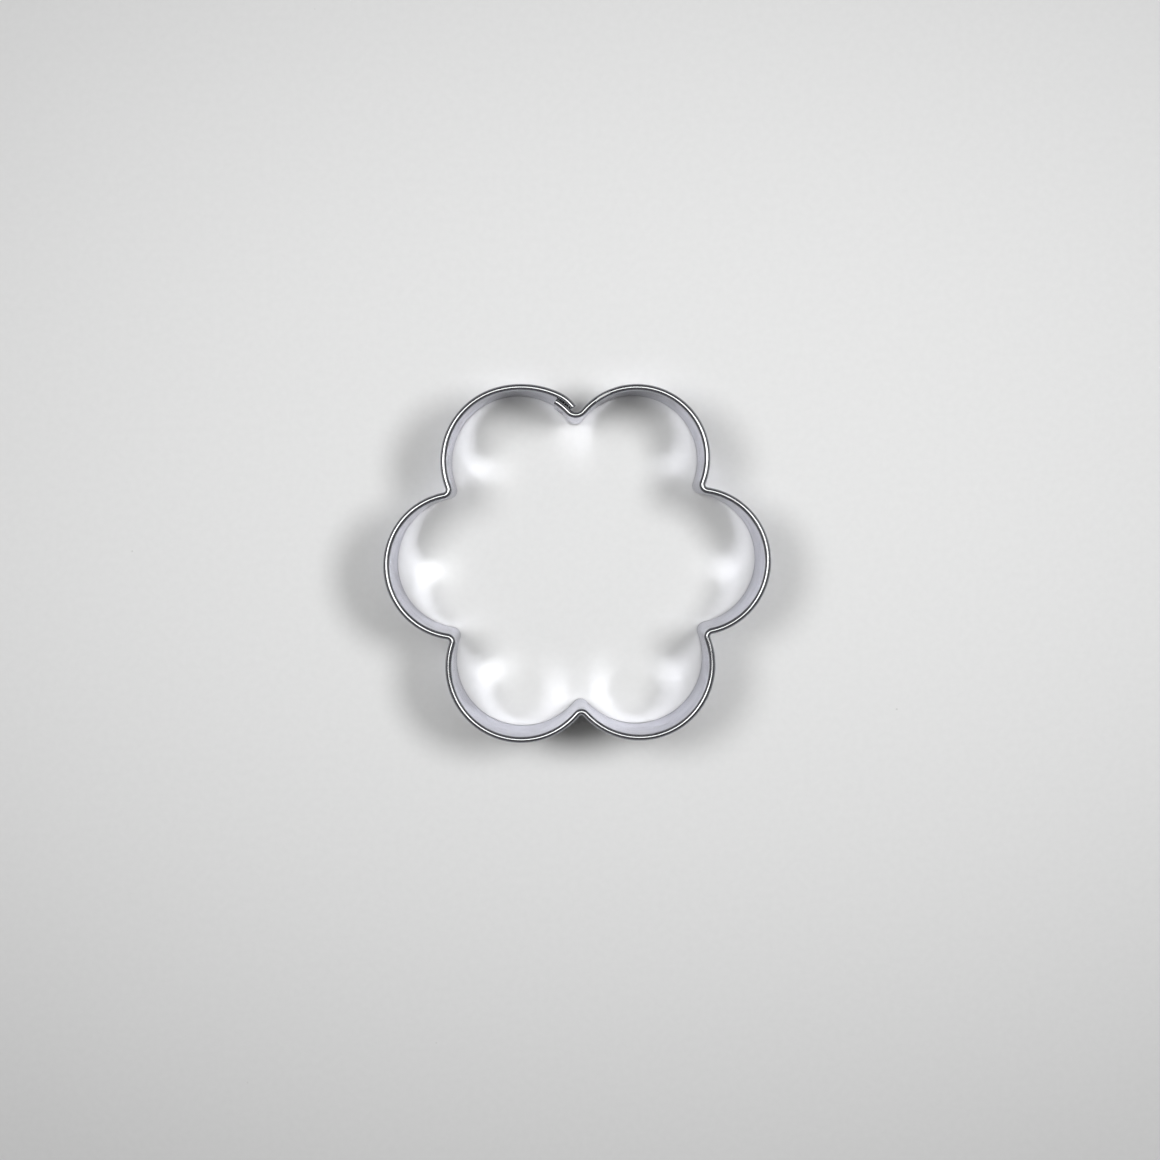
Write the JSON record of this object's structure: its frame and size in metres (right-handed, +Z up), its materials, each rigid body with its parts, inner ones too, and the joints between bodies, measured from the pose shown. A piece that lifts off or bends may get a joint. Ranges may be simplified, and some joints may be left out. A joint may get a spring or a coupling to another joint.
{
  "type": "cookie cutter",
  "caption": "Flower-shaped pastry cutter of thin bright sheet metal: an open wall with a sharp lower edge, a hemmed rim to press on and a lapped, spot-welded seam.",
  "frame": {"origin": "middle of the flower, in the plane that the cutting edge stands on", "axes": "+Z up from the cutting edge to the hemmed rim; +X through the middle of a petal; +Y through the valley with the lapped ends"},
  "size_m": [0.0601, 0.0556, 0.02],
  "materials": {
    "sheet": "bright rolled",
    "weld": "heat-tinted"
  },
  "bodies": {
    "root": {"band": "sheet", "upper_spot_weld": "weld", "lower_spot_weld": "weld"}
  },
  "joints": []
}
